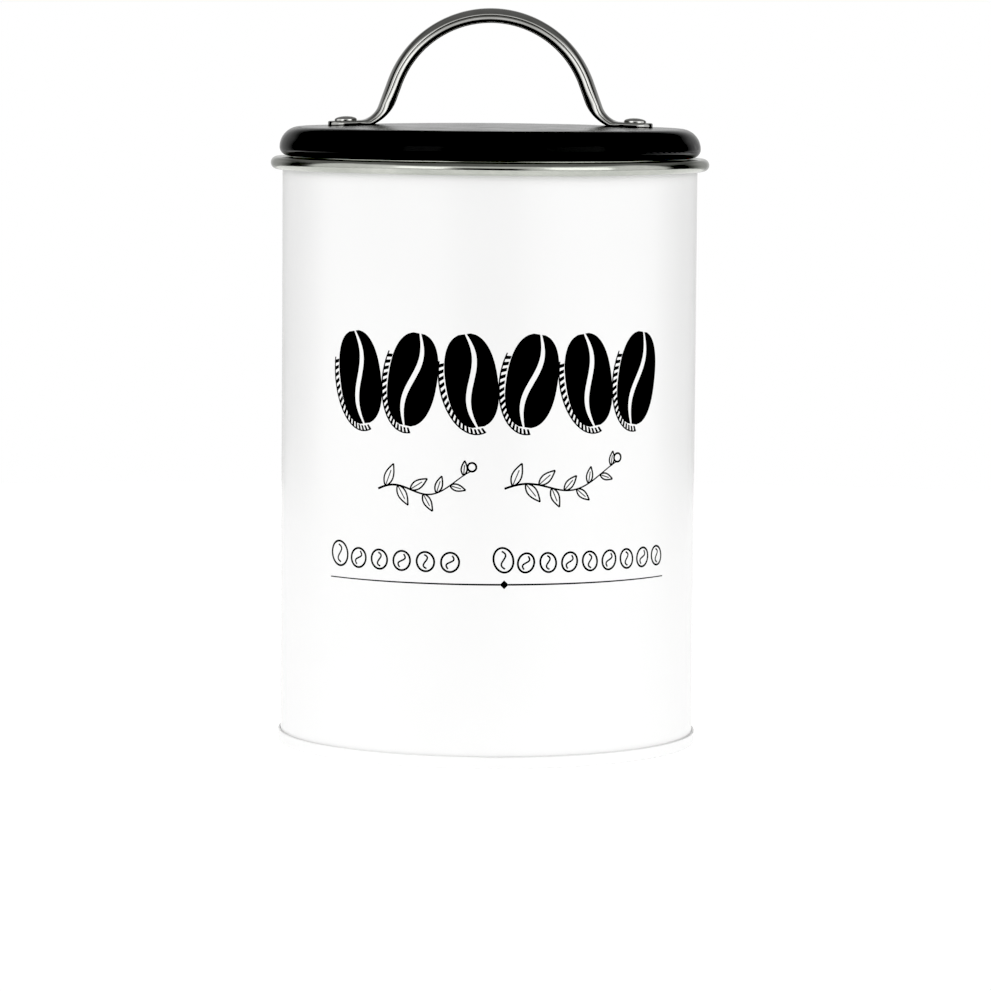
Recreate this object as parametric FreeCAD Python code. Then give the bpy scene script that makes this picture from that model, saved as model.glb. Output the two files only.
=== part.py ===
import FreeCAD, Part
import math
import os

# Coffee tin: a seamed steel can with a bright rolled mouth ring and a lift-off lid that
# carries a riveted strap handle. Millimetres. The origin is the middle of the base, +Z is
# up, the front faces -Y and the handle's arch lies in the X-Z plane.

# Can
CAN_R = 54.0            # outside of the painted wall
TIN = 0.2               # tinplate of the wall and the bottom
LAYER_GAP = 0.02        # between the folded layers of the bottom seam
SEAM_H = 3.2            # height of the bottom double seam
SEAM_BEND = 0.3         # outside bend radius of each fold in the seam
HOOK_RISE = 2.4         # top of the wall's hook inside the seam
HOOK_DROP = 1.0         # lower end of the bottom's hook inside the seam
FLOOR_Z = 3.4           # underside of the recessed bottom panel
PANEL_BEND = 1.0
BEAD_RISE = 0.8         # height of the raised ring pressed into the bottom panel
BEAD_IN_R = 22.7        # where the raised ring starts and ends
BEAD_OUT_R = 42.1
BEAD_FOOT = 1.2         # width of the slope up to it
SEALANT_CLEAR = 0.1     # above the sealing compound, inside the seam
LAP_WIDTH = 1.8         # welded side lap at the back of the can
LAP_PROUD = 0.12

# Mouth ring: a pressed ring inside the mouth whose edge is rolled outwards over the wall
RING_SHEET = 0.3
RING_R = 57.05          # outside of the rolled bead
BEAD_ROLL = 1.635       # radius of the rolled bead
MOUTH_R = 53.48         # clear radius of the mouth
MOUTH_TOP = 152.75
RING_BOTTOM = 140.0

# Lid
LID_R = 54.8
COVER_SHEET = 0.35
HEM_GAP = 0.2           # between the lid's folded edge and the top of the mouth ring
HEM_ROLL = 2.3          # outside radius of the folded edge
HEM_R = 51.9            # where the folded edge ends, inside
SHOULDER = 5.25         # radius between the lid's side and its crown
CROWN_H = 6.25          # rise from the widest part of the lid to the middle of its top
PLUG_SHEET = 0.3
PLUG_R = 51.4
PLUG_BOTTOM = 143.4
PLUG_BEND = 0.3
RIB_R = 41.1            # outside of the pan's raised middle
RIB_RISE = 1.5
PLUG_FLANGE_R = 52.5
GROOVE_R = 50.2
GROOVE_LOW = 146.2
GROOVE_HIGH = 151.4

# Gasket
GASKET_R = 53.3
GASKET_ROOT_CLEAR = 0.1
GASKET_END_CLEAR = 0.2
GASKET_CORE = 1.6       # thickness of the band that the lips stand on
LIP_COUNT = 3
LIP_H = 0.8

# Handle
HANDLE_TOP = 191.4
ARCH_R = 28.4           # outside radius of the arch
LEG_LEAN = math.radians(20)
STRAP_WIDTH = 14.0
STRAP_SHEET = 1.1
CHANNEL_DEPTH = 3.8     # from the strap's back to the free edge of its flanges
FLANGE = 1.0
FLARE_R = 6.0           # back of the bend from leg to foot
INNER_FLARE_R = 11.0    # free edge of the flanges in the same bend
FLARE_TUCK = 0.9        # how far the flange curve would run under the foot
FOOT_END = 42.2
FOOT_CORNER = 5.0
EDGE_ROUND = 0.8

# Rivets
RIVET_X = 37.6
SHANK_R = 1.6
HOLE_R = 1.65
HEAD_R = 2.9
HEAD_H = 1.4
TAIL_R = 2.5
TAIL_H = 0.9
WASHER_R = 3.5
WASHER_SHEET = 0.6
SEAT_GAP = 0.01         # between flat rivet parts and the slightly domed lid

UP = FreeCAD.Vector(0, 0, 1)
ACROSS = FreeCAD.Vector(0, 1, 0)
ORIGIN = FreeCAD.Vector(0, 0, 0)
WHOLE_TURN = 360
SAME_PLACE = 0.001      # points nearer than this are one point

# Lid sizes that follow from the ones above
HEM_Z = MOUTH_TOP + HEM_GAP
WIDEST_Z = HEM_Z + HEM_ROLL
CROWN_TOP = WIDEST_Z + CROWN_H
SHOULDER_X = LID_R - SHOULDER
CROWN_R = (SHOULDER_X**2 + CROWN_H**2 - SHOULDER**2) / (2 * (CROWN_H - SHOULDER))
FLANGE_Z = HEM_Z + COVER_SHEET + LAYER_GAP


# Profiles: straight runs through corner points, each corner rounded by its own radius

def spot(x, z):
    return FreeCAD.Vector(x, 0, z)


def rounded_path(corners):
    """Steps (start, middle, end, centre, turn) through corners (x, z, radius)."""
    points = [spot(x, z) for x, z, _ in corners]
    steps = []
    reached = points[0]
    for before, here, after, corner in zip(points, points[1:], points[2:], corners[1:]):
        radius = corner[2]
        come = (here - before).normalize()
        go = (after - here).normalize()
        turn = math.copysign(1, come.x * go.z - come.z * go.x)
        tangent = radius * math.tan(come.getAngle(go) / 2)
        start = here - come * tangent
        end = here + go * tangent
        centre = start + left_of(come) * (radius * turn)
        middle = centre + (here - centre).normalize() * radius
        add_run(steps, reached, start)
        steps.append((start, middle, end, centre, turn))
        reached = end
    add_run(steps, reached, points[-1])
    return steps


def add_run(steps, start, end):
    if (end - start).Length > SAME_PLACE:
        steps.append((start, None, end, None, 0))


def left_of(direction):
    return spot(-direction.z, direction.x)


def beside(steps, distance):
    """The same path moved to its left by distance, arcs staying concentric."""
    moved = []
    for start, middle, end, centre, turn in steps:
        if centre is None:
            shift = left_of((end - start).normalize()) * distance
            moved.append((start + shift, None, end + shift, None, 0))
        else:
            arc = [p + (centre - p).normalize() * (distance * turn) for p in (start, middle, end)]
            moved.append((*arc, centre, turn))
    return moved


def step_edges(steps):
    edges = []
    for start, middle, end, _, _ in steps:
        if middle is None:
            edges.append(Part.LineSegment(start, end).toShape())
        else:
            edges.append(Part.Arc(start, middle, end).toShape())
    return edges


def face_between(side_a, side_b):
    """Flat face between two paths that run the same way."""
    start_cap = Part.LineSegment(side_b[0][0], side_a[0][0]).toShape()
    end_cap = Part.LineSegment(side_a[-1][2], side_b[-1][2]).toShape()
    edges = step_edges(side_a) + [end_cap] + step_edges(side_b) + [start_cap]
    return Part.Face(Part.Wire(Part.__sortEdges__(edges)))


def turned(face):
    return face.revolve(ORIGIN, UP, WHOLE_TURN)


def turned_sheet(corners, thickness):
    """Sheet metal of revolution; the sheet lies to the left of the path."""
    steps = rounded_path(corners)
    return turned(face_between(steps, beside(steps, thickness)))


def turned_outline(points):
    corners = [spot(r, z) for r, z in points]
    return turned(Part.Face(Part.makePolygon(corners + corners[:1])))


# Can

def seam_layers():
    """Inside radii of the seam's folded layers, from the wall outwards."""
    pitch = TIN + LAYER_GAP
    return [CAN_R + LAYER_GAP + pitch * layer for layer in range(3)]


def can_body():
    hook_outside = seam_layers()[1] + TIN
    low = TIN + LAYER_GAP
    wall = turned_sheet([
        (CAN_R - TIN, MOUTH_TOP - BEAD_ROLL, 0),
        (CAN_R - TIN, low, SEAM_BEND),
        (hook_outside, low, SEAM_BEND),
        (hook_outside, HOOK_RISE, 0),
    ], TIN)
    return wall.fuse(side_lap()).removeSplitter()


def side_lap():
    """Overlap of the welded side joint, a narrow raised strip up the back."""
    low = SEAM_H + LAYER_GAP
    height = MOUTH_TOP - 2 * BEAD_ROLL - LAYER_GAP - low
    inside = CAN_R - TIN / 2
    skin = Part.makeCylinder(CAN_R + LAP_PROUD, height).cut(Part.makeCylinder(inside, height))
    strip = Part.makeBox(LAP_WIDTH, CAN_R, height, FreeCAD.Vector(-LAP_WIDTH / 2, CAN_R / 2, 0))
    return skin.common(strip).translate(UP * low)


def can_bottom():
    chuck_wall = CAN_R - 2 * TIN - LAYER_GAP
    hook_inside = seam_layers()[0]
    seam_outside = seam_layers()[2] + TIN
    return turned_sheet([
        (0, FLOOR_Z, 0),
        (BEAD_IN_R, FLOOR_Z, PANEL_BEND),
        (BEAD_IN_R + BEAD_FOOT, FLOOR_Z + BEAD_RISE, PANEL_BEND),
        (BEAD_OUT_R - BEAD_FOOT, FLOOR_Z + BEAD_RISE, PANEL_BEND),
        (BEAD_OUT_R, FLOOR_Z, PANEL_BEND),
        (chuck_wall, FLOOR_Z, PANEL_BEND),
        (chuck_wall, 0, SEAM_BEND),
        (seam_outside, 0, SEAM_BEND),
        (seam_outside, SEAM_H, SEAM_BEND),
        (hook_inside, SEAM_H, SEAM_BEND),
        (hook_inside, HOOK_DROP, 0),
    ], TIN)


def seam_sealant():
    """Thin ring of sealing compound above the wall's hook, inside the seam."""
    clear = LAYER_GAP / 2
    inside = seam_layers()[1] + clear
    outside = seam_layers()[1] + TIN - clear
    low = HOOK_RISE + LAYER_GAP
    high = SEAM_H - TIN - SEALANT_CLEAR
    return turned_outline([(inside, low), (outside, low), (outside, high), (inside, high)])


def mouth_ring():
    low = MOUTH_TOP - 2 * BEAD_ROLL
    return turned_sheet([
        (CAN_R + 2 * LAYER_GAP, low, 0),
        (RING_R, low, BEAD_ROLL),
        (RING_R, MOUTH_TOP, BEAD_ROLL),
        (MOUTH_R, MOUTH_TOP, BEAD_ROLL),
        (MOUTH_R, RING_BOTTOM, 0),
    ], RING_SHEET)


# Lid

def crown_slope(x):
    """Angle that the lid's top falls away at a distance x from the middle."""
    return math.asin(x / CROWN_R)


def crown_z(x):
    return CROWN_TOP - CROWN_R * (1 - math.cos(crown_slope(x)))


def lid_cover():
    edge_slope = math.asin(SHOULDER_X / (CROWN_R - SHOULDER))
    crown_corner = CROWN_R * math.tan(edge_slope / 2)
    shoulder_corner = WIDEST_Z + SHOULDER * math.tan((math.pi / 2 - edge_slope) / 2)
    shell = turned_sheet([
        (HEM_R, HEM_Z, 0),
        (LID_R, HEM_Z, HEM_ROLL),
        (LID_R, shoulder_corner, SHOULDER),
        (crown_corner, CROWN_TOP, CROWN_R),
        (0, CROWN_TOP, 0),
    ], COVER_SHEET)
    return drill_rivet_holes(shell)


def lid_plug():
    """Pressed pan that closes the lid's underside and holds the gasket in its groove."""
    return turned_sheet([
        (0, PLUG_BOTTOM + RIB_RISE, 0),
        (RIB_R, PLUG_BOTTOM + RIB_RISE, PANEL_BEND),
        (RIB_R + RIB_RISE, PLUG_BOTTOM, PANEL_BEND),
        (PLUG_R, PLUG_BOTTOM, PANEL_BEND),
        (PLUG_R, GROOVE_LOW, PLUG_SHEET + LAYER_GAP),
        (GROOVE_R, GROOVE_LOW, PLUG_BEND),
        (GROOVE_R, GROOVE_HIGH, PLUG_BEND),
        (PLUG_R, GROOVE_HIGH, PLUG_SHEET + LAYER_GAP),
        (PLUG_R, FLANGE_Z, PLUG_BEND),
        (PLUG_FLANGE_R, FLANGE_Z, 0),
    ], PLUG_SHEET)


def lid_gasket():
    """Soft ring with raised lips that fills the space between plug and mouth."""
    inside = GROOVE_R + GASKET_ROOT_CLEAR
    low = GROOVE_LOW + GASKET_END_CLEAR
    high = GROOVE_HIGH - GASKET_END_CLEAR
    pitch = (high - low - LIP_H) / (LIP_COUNT - 1)
    comb = []
    for lip in range(LIP_COUNT):
        foot = low + pitch * lip
        comb += [(inside + GASKET_CORE, foot), (GASKET_R, foot)]
        comb += [(GASKET_R, foot + LIP_H), (inside + GASKET_CORE, foot + LIP_H)]
    return turned_outline([(inside, high), (inside, low)] + comb[1:-1])


# Handle: a strap pressed to a channel over its arch and left flat at its two feet

def crossing(point_a, slope_a, point_b, slope_b):
    """Where two lines meet, each given by a point and dz/dx."""
    x = (point_b[1] - point_a[1] + slope_a * point_a[0] - slope_b * point_b[0]) / (slope_a - slope_b)
    return x, point_a[1] + slope_a * (x - point_a[0])


def arch_path(depth, bend, foot_drop):
    """One long curve of the strap, foot to foot, at a depth below the arch's back.

    The foot runs beside the lid's top, foot_drop above it (or below, if negative)."""
    radius = ARCH_R - depth
    peak = HANDLE_TOP - ARCH_R + radius / math.sin(LEG_LEAN)
    leg_slope = -1 / math.tan(LEG_LEAN)
    foot_slope = -math.tan(crown_slope(RIVET_X))
    foot_point = (RIVET_X, crown_z(RIVET_X) + foot_drop)
    knee = crossing((0, peak), leg_slope, foot_point, foot_slope)
    toe = foot_point[1] + foot_slope * (FOOT_END - RIVET_X)
    return rounded_path([
        (FOOT_END, toe, 0),
        (*knee, bend),
        (0, peak, radius),
        (-knee[0], knee[1], bend),
        (-FOOT_END, toe, 0),
    ])


def extrude_across(face, width):
    return face.translated(ACROSS * (-width / 2)).extrude(ACROSS * width)


def foot_plan():
    """Outline of the strap seen from above, with its rounded ends."""
    corner = FreeCAD.Vector(-FOOT_END, -STRAP_WIDTH / 2, 0)
    plate = Part.makeBox(2 * FOOT_END, STRAP_WIDTH, HANDLE_TOP, corner)
    upright = [e for e in plate.Edges if e.BoundBox.ZLength > STRAP_WIDTH]
    return plate.makeFillet(FOOT_CORNER, upright)


def under_feet():
    """Everything below the two planes that the feet rest on."""
    slope = math.tan(crown_slope(RIVET_X))
    reach = FOOT_END + FOOT_CORNER
    toe = crown_z(RIVET_X) - slope * (reach - RIVET_X)
    peak = crown_z(RIVET_X) + slope * RIVET_X
    low = toe - CHANNEL_DEPTH
    outline = [spot(-reach, low), spot(reach, low), spot(reach, toe), spot(0, peak), spot(-reach, toe)]
    return extrude_across(Part.Face(Part.makePolygon(outline + outline[:1])), 2 * STRAP_WIDTH)


def handle():
    back = arch_path(0, FLARE_R, STRAP_SHEET)
    free_edge = arch_path(CHANNEL_DEPTH, INNER_FLARE_R, -FLARE_TUCK)
    web_underside = beside(back, STRAP_SHEET)
    open_side = beside(free_edge, CHANNEL_DEPTH)
    bar = extrude_across(face_between(back, free_edge), STRAP_WIDTH)
    hollow = extrude_across(face_between(web_underside, open_side), STRAP_WIDTH - 2 * FLANGE)
    strap = bar.cut(under_feet()).common(foot_plan())
    strap = strap.makeFillet(EDGE_ROUND, rim_of_back(strap, back))
    return drill_rivet_holes(strap.cut(hollow))


def rim_of_back(strap, back):
    """Edges all round the strap's outer surface."""
    sheet = extrude_across(Part.Wire(step_edges(back)), STRAP_WIDTH)
    return [e for e in strap.Edges
            if all(sheet.distToShape(v)[0] < SAME_PLACE for v in e.Vertexes) and on_rim(e)]


def on_rim(edge):
    """True for an edge along the strap or round its end, not one that crosses it or its thickness."""
    middle = edge.valueAt((edge.FirstParameter + edge.LastParameter) / 2)
    side = abs(abs(middle.y) - STRAP_WIDTH / 2) < SAME_PLACE
    end = FOOT_END - abs(middle.x) < FOOT_CORNER / 2
    return side or end


# Rivets, built upright on the lid's surface and then leaned to its slope

def on_crown(shape, side):
    """Place a shape made at the origin on the lid's top, square to it, at one foot."""
    lean = FreeCAD.Rotation(ACROSS, math.degrees(crown_slope(RIVET_X)) * side)
    seat = spot(RIVET_X * side, crown_z(RIVET_X))
    return shape.transformed(FreeCAD.Placement(seat, lean).toMatrix())


def drill_rivet_holes(shape):
    reach = HEAD_H + STRAP_SHEET
    for side in (-1, 1):
        drill = Part.makeCylinder(HOLE_R, 2 * reach, UP * -reach)
        shape = shape.cut(on_crown(drill, side))
    return shape


def rivet(side):
    top = STRAP_SHEET + SEAT_GAP
    under = -COVER_SHEET - WASHER_SHEET - 3 * SEAT_GAP
    dome_r = (HEAD_R**2 + HEAD_H**2) / (2 * HEAD_H)
    head = Part.makeSphere(dome_r, UP * (top + HEAD_H - dome_r))
    head = head.common(Part.makeCylinder(HEAD_R, HEAD_H, UP * top))
    shank = Part.makeCylinder(SHANK_R, top - under, UP * under)
    tail = Part.makeCylinder(TAIL_R, TAIL_H, UP * (under - TAIL_H))
    return on_crown(head.fuse([shank, tail]).removeSplitter(), side)


def rivet_washer(side):
    top = -COVER_SHEET - 2 * SEAT_GAP
    disc = Part.makeCylinder(WASHER_R, WASHER_SHEET, UP * (top - WASHER_SHEET))
    hole = Part.makeCylinder(HOLE_R, WASHER_SHEET, UP * (top - WASHER_SHEET))
    return on_crown(disc.cut(hole), side)


PIECES = {
    "can_body": can_body(),
    "can_bottom": can_bottom(),
    "seam_sealant": seam_sealant(),
    "mouth_ring": mouth_ring(),
    "lid_cover": lid_cover(),
    "lid_plug": lid_plug(),
    "lid_gasket": lid_gasket(),
    "handle": handle(),
    "rivet_left": rivet(-1),
    "rivet_right": rivet(1),
    "rivet_washer_left": rivet_washer(-1),
    "rivet_washer_right": rivet_washer(1),
}

os.makedirs("parts", exist_ok=True)
for name, piece in PIECES.items():
    piece.exportStep(f"parts/{name}.step")
    box = piece.BoundBox
    print(f"{name}: valid {piece.isValid()}, solids {len(piece.Solids)}, volume {piece.Volume:.1f} mm3,"
          f" z {box.ZMin:.2f} to {box.ZMax:.2f}, x to {box.XMax:.2f}")
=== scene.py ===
import math

import bpy
from mathutils import Matrix, Vector, noise


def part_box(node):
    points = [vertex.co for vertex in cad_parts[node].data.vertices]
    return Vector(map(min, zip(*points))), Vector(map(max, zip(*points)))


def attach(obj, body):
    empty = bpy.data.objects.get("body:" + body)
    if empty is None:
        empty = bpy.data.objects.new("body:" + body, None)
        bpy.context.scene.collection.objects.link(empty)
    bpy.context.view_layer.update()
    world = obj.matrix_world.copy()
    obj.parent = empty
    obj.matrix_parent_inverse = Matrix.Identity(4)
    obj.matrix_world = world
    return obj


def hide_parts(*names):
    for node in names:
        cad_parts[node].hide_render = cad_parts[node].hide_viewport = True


# The looks of the coffee tin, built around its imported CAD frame. Metres throughout; MM turns the
# sizes that are easier to read in millimetres into metres. The front of the can faces -Y.

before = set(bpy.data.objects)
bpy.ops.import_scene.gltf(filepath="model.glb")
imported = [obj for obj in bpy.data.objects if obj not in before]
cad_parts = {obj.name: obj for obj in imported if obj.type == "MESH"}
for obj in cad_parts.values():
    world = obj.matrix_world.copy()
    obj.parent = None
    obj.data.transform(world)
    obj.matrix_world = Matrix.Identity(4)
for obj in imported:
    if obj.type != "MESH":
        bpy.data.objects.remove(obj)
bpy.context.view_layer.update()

MM = 0.001
SCENE = bpy.context.scene

# Sizes that are the CAD part's own
CAN_R = 54.0 * MM
TIN = 0.2 * MM
SEAM_FOLD_R = 54.44 * MM
SEAM_FOLD_LOW = 0.22 * MM
SEAM_FOLD_TOP = 2.4 * MM
SEAM_BEND = 0.3 * MM
SEAM_H = 3.2 * MM
FLOOR_Z = 3.4 * MM
LAP_WIDTH = 1.8 * MM
LAP_PROUD = 0.12 * MM
RING_SHEET = 0.3 * MM
BEAD_ROLL = 1.635 * MM
MOUTH_R = 53.48 * MM
RING_INSIDE_EDGE = 54.04 * MM
ARCH_R = 28.4 * MM
LEG_LEAN = math.radians(20)
STRAP_SHEET = 1.1 * MM
CHANNEL_DEPTH = 3.8 * MM
FLANGE = 1.0 * MM
FLARE_R = 6.0 * MM
INNER_FLARE_R = 11.0 * MM
FLARE_TUCK = 0.9 * MM
FOOT_CORNER = 5.0 * MM
RIVET_X = 37.6 * MM
SHOULDER = 5.25 * MM
CROWN_H = 6.25 * MM
COVER_SHEET = 0.35 * MM
WASHER_SHEET = 0.6 * MM

# Places read from the frame
RING_LOW, RING_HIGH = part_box("mouth_ring")
GASKET_LOW, GASKET_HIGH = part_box("lid_gasket")
HANDLE_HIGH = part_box("handle")[1]
COVER_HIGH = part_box("lid_cover")[1]
CROWN_TOP = COVER_HIGH.z
MOUTH_TOP = RING_HIGH.z
RING_R = RING_HIGH.x
FOOT_END = HANDLE_HIGH.x
STRAP_HALF = HANDLE_HIGH.y
CROWN_EDGE = COVER_HIGH.x - SHOULDER
CROWN_R = (CROWN_EDGE**2 + CROWN_H**2 - SHOULDER**2) / (2 * (CROWN_H - SHOULDER))


# ---------------------------------------------------------------- profiles

ARC_STEP = math.radians(9)      # angle between points on a rounded corner
SAME_SPOT = 0.001 * MM          # points closer than this are one point


def shares(count):
    """Even shares from 0 to 1, both included."""
    return [i / count for i in range(count + 1)]


def mix(low, high, share):
    return low + (high - low) * share


def eased(share):
    """Soft-ended step: 0 for a share up to 0, and 1 from 1 on."""
    held = min(1, max(0, share))
    return held * held * (3 - 2 * held)


def rounded_path(corners, arc_step=ARC_STEP):
    """Points (x, z, normal x, normal z) through corners (x, z, radius); the normal is to the left."""
    spots = [Vector((x, z)) for x, z, _ in corners]
    path = []
    first = (spots[1] - spots[0]).normalized()
    path.append((*spots[0], -first.y, first.x))
    for before, here, after, corner in zip(spots, spots[1:], spots[2:], corners[1:]):
        come = (here - before).normalized()
        go = (after - here).normalized()
        turn = math.copysign(1, come.cross(go))
        sweep = come.angle(go)
        start = here - come * corner[2] * math.tan(sweep / 2)
        side = Vector((-come.y, come.x))
        centre = start + side * corner[2] * turn
        count = max(2, math.ceil(sweep / arc_step))
        for i in range(count + 1):
            normal = Matrix.Rotation(sweep * i / count * turn, 2) @ side
            path.append((*(centre - normal * corner[2] * turn), normal.x, normal.y))
    last = (spots[-1] - spots[-2]).normalized()
    path.append((*spots[-1], -last.y, last.x))
    return path


def filled(path, longest):
    """The same path with no gap between points longer than the given length."""
    points = [path[0]]
    for here, there in zip(path, path[1:]):
        gap = math.dist(here[:2], there[:2])
        count = max(1, math.ceil(gap / longest))
        for i in range(1, count + 1):
            points.append(tuple(a + (b - a) * i / count for a, b in zip(here, there)))
    return [p for i, p in enumerate(points) if i == 0 or math.dist(p[:2], points[i - 1][:2]) > SAME_SPOT]


def sheet_loop(path, thickness):
    """Closed outline of a sheet that follows the path, its thickness to the left."""
    near = [(x, z) for x, z, _, _ in path]
    far = [(x + nx * thickness, z + nz * thickness) for x, z, nx, nz in path]
    return near + far[::-1]


def even_turn(count):
    """Even angles for one whole turn."""
    return [math.tau * i / count for i in range(count)]


# ---------------------------------------------------------------- meshes

def piece(name, verts, faces, body, slot, sharp, stands_for=(), finish=None):
    """A closed mesh that rides on a CAD body, in the finish of its slot if none is given. Edges
    sharper than sharp degrees stay crisp."""
    mesh = bpy.data.meshes.new(name)
    mesh.from_pydata(verts, [], faces)
    mesh.validate()
    mesh.materials.append(finish or FINISH[slot])
    mesh.shade_smooth()
    mesh.set_sharp_from_angle(angle=math.radians(sharp))
    thing = bpy.data.objects.new(name, mesh)
    SCENE.collection.objects.link(thing)
    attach(thing, body)
    if stands_for:
        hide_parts(*stands_for)


def lathe(loop, angles, bend=None):
    """Turn a closed outline (r, z) about the Z axis. Angle 0 is the front and +90 degrees is +X."""
    verts = []
    faces = []
    for angle in angles:
        for r, z in loop:
            if bend:
                r, z = bend(angle, r, z)
            verts.append((r * math.sin(angle), -r * math.cos(angle), z))
    count = len(loop)
    for a in range(len(angles)):
        b = (a + 1) % len(angles)
        for i in range(count):
            j = (i + 1) % count
            faces.append((a * count + i, a * count + j, b * count + j, b * count + i))
    return verts, faces


def lathe_solid(loop, count):
    """Turn an outline whose first and last points are on the axis."""
    inner = loop[1:-1]
    verts = [(0, 0, loop[0][1]), (0, 0, loop[-1][1])]
    faces = []
    for angle in even_turn(count):
        verts += [(r * math.sin(angle), -r * math.cos(angle), z) for r, z in inner]
    rows = len(inner)
    for a in range(count):
        here = 2 + a * rows
        there = 2 + (a + 1) % count * rows
        faces.append((0, here, there))
        faces.append((1, there + rows - 1, here + rows - 1))
        for i in range(rows - 1):
            faces.append((here + i, here + i + 1, there + i + 1, there + i))
    return verts, faces


def loft(sections):
    """Closed skin over sections of equal length, capped at both ends."""
    count = len(sections[0])
    verts = [point for section in sections for point in section]
    faces = [tuple(range(count))[::-1]]
    for s in range(len(sections) - 1):
        for i in range(count):
            j = (i + 1) % count
            faces.append((s * count + i, s * count + j, (s + 1) * count + j, (s + 1) * count + i))
    last = (len(sections) - 1) * count
    faces.append(tuple(range(last, last + count)))
    return verts, faces


# ---------------------------------------------------------------- materials

def add(tree, kind, inputs=None, **settings):
    """A node with its settings and inputs; an input that is an output socket gets linked."""
    node = tree.nodes.new(kind)
    for name, value in settings.items():
        setattr(node, name, value)
    for name, value in (inputs or {}).items():
        if isinstance(value, bpy.types.NodeSocket):
            tree.links.new(value, node.inputs[name])
        else:
            node.inputs[name].default_value = value
    return node


def grey(level):
    return (level, level, level, 1)


def new_finish(name, **constants):
    """Material, its node tree and its shader, with the constant inputs set on the shader."""
    finish = bpy.data.materials.new(name)
    finish.use_nodes = True
    tree = finish.node_tree
    tree.nodes.clear()
    shader = add(tree, "ShaderNodeBsdfPrincipled")
    for key, value in constants.items():
        shader.inputs[key.replace("_", " ")].default_value = value
    output = add(tree, "ShaderNodeOutputMaterial")
    tree.links.new(shader.outputs["BSDF"], output.inputs["Surface"])
    return finish, tree, shader


def place(tree, scale=(1, 1, 1)):
    """Coordinates in the object's own metres, times a scale."""
    at = add(tree, "ShaderNodeTexCoord")
    mapping = add(tree, "ShaderNodeMapping", {"Vector": at.outputs["Object"], "Scale": scale})
    return mapping.outputs["Vector"]


def grain(tree, where, size, detail, roughness=0.5):
    """Noise from 0 to 1 whose lumps are about size metres."""
    node = add(tree, "ShaderNodeTexNoise", {"Vector": where, "Scale": 1 / size, "Detail": detail,
                                            "Roughness": roughness})
    return node.outputs["Fac"]


def spread(tree, value, low, high, start=0.3, end=0.7):
    """Map value's range from start..end to low..high; most noise lies between 0.3 and 0.7."""
    node = add(tree, "ShaderNodeMapRange", {"Value": value, "From Min": start, "From Max": end,
                                            "To Min": low, "To Max": high})
    return node.outputs["Result"]


def blend_colour(tree, factor, first, second):
    """Colour that is the first where the factor is 0 and the second where it is 1."""
    node = add(tree, "ShaderNodeMix", data_type="RGBA")
    for name, value in (("A", first), ("B", second)):
        socket = [s for s in node.inputs if s.name == name and s.type == "RGBA"][0]
        if isinstance(value, bpy.types.NodeSocket):
            tree.links.new(value, socket)
        else:
            socket.default_value = value
    tree.links.new(factor, node.inputs["Factor"])
    return [s for s in node.outputs if s.type == "RGBA"][0]


def maths(tree, operation, a, b=0.0):
    node = add(tree, "ShaderNodeMath", operation=operation)
    for index, value in enumerate((a, b)):
        if isinstance(value, bpy.types.NodeSocket):
            tree.links.new(value, node.inputs[index])
        else:
            node.inputs[index].default_value = value
    return node.outputs["Value"]


def times(tree, a, b):
    return maths(tree, "MULTIPLY", a, b)


def greater(tree, a, b):
    """The greater of two values."""
    return maths(tree, "MAXIMUM", a, b)


def tint(tree, shader, factor, tones, **span):
    """Base colour that wanders between two tones."""
    share = spread(tree, factor, low=0, high=1, **span)
    tree.links.new(blend_colour(tree, share, *tones), shader.inputs["Base Color"])


def roughen(tree, shader, factor, low, high):
    tree.links.new(spread(tree, factor, low, high), shader.inputs["Roughness"])


def relief(tree, shader, height, depth, under=None):
    """Bump of the given depth in metres."""
    inputs = {"Height": height, "Distance": depth, "Strength": 1.0}
    if under:
        inputs["Normal"] = under
    node = add(tree, "ShaderNodeBump", inputs)
    tree.links.new(node.outputs["Normal"], shader.inputs["Normal"])
    return node.outputs["Normal"]


def around(tree):
    """The object's own x, y and z in metres, then the angle and the radius about the can's axis."""
    at = add(tree, "ShaderNodeTexCoord")
    split = add(tree, "ShaderNodeSeparateXYZ", {"Vector": at.outputs["Object"]})
    x, y, z = split.outputs
    angle = maths(tree, "ARCTAN2", x, y)
    radius = maths(tree, "SQRT", maths(tree, "ADD", times(tree, x, x), times(tree, y, y)))
    return x, y, z, angle, radius


FACING = 0.3    # a surface faces a way when at least this much of its normal points there


def inside_of_can(tree):
    """1 on surfaces that face the can's inside, 0 elsewhere."""
    x, y, z, _, radius = around(tree)
    faces = add(tree, "ShaderNodeNewGeometry")
    normal = add(tree, "ShaderNodeSeparateXYZ", {"Vector": faces.outputs["True Normal"]})
    nx, ny, nz = normal.outputs
    across = maths(tree, "ADD", times(tree, nx, x), times(tree, ny, y))
    outward = maths(tree, "DIVIDE", across, radius)
    inward_wall = maths(tree, "LESS_THAN", outward, -FACING)
    upward_floor = times(tree, maths(tree, "GREATER_THAN", nz, FACING),
                         maths(tree, "LESS_THAN", radius, CAN_R - TIN))
    above = maths(tree, "GREATER_THAN", z, FLOOR_Z + TIN / 2)
    return times(tree, above, greater(tree, inward_wall, upward_floor))


COAT_IOR = 1.5                  # enamel, ink and sealing compound
DULLED = 0.2                    # specular level of the black coats; a plain gloss coat has 0.5
LACQUER_METALLIC = 0.45         # how much the bare metal shows through the lacquer

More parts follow.
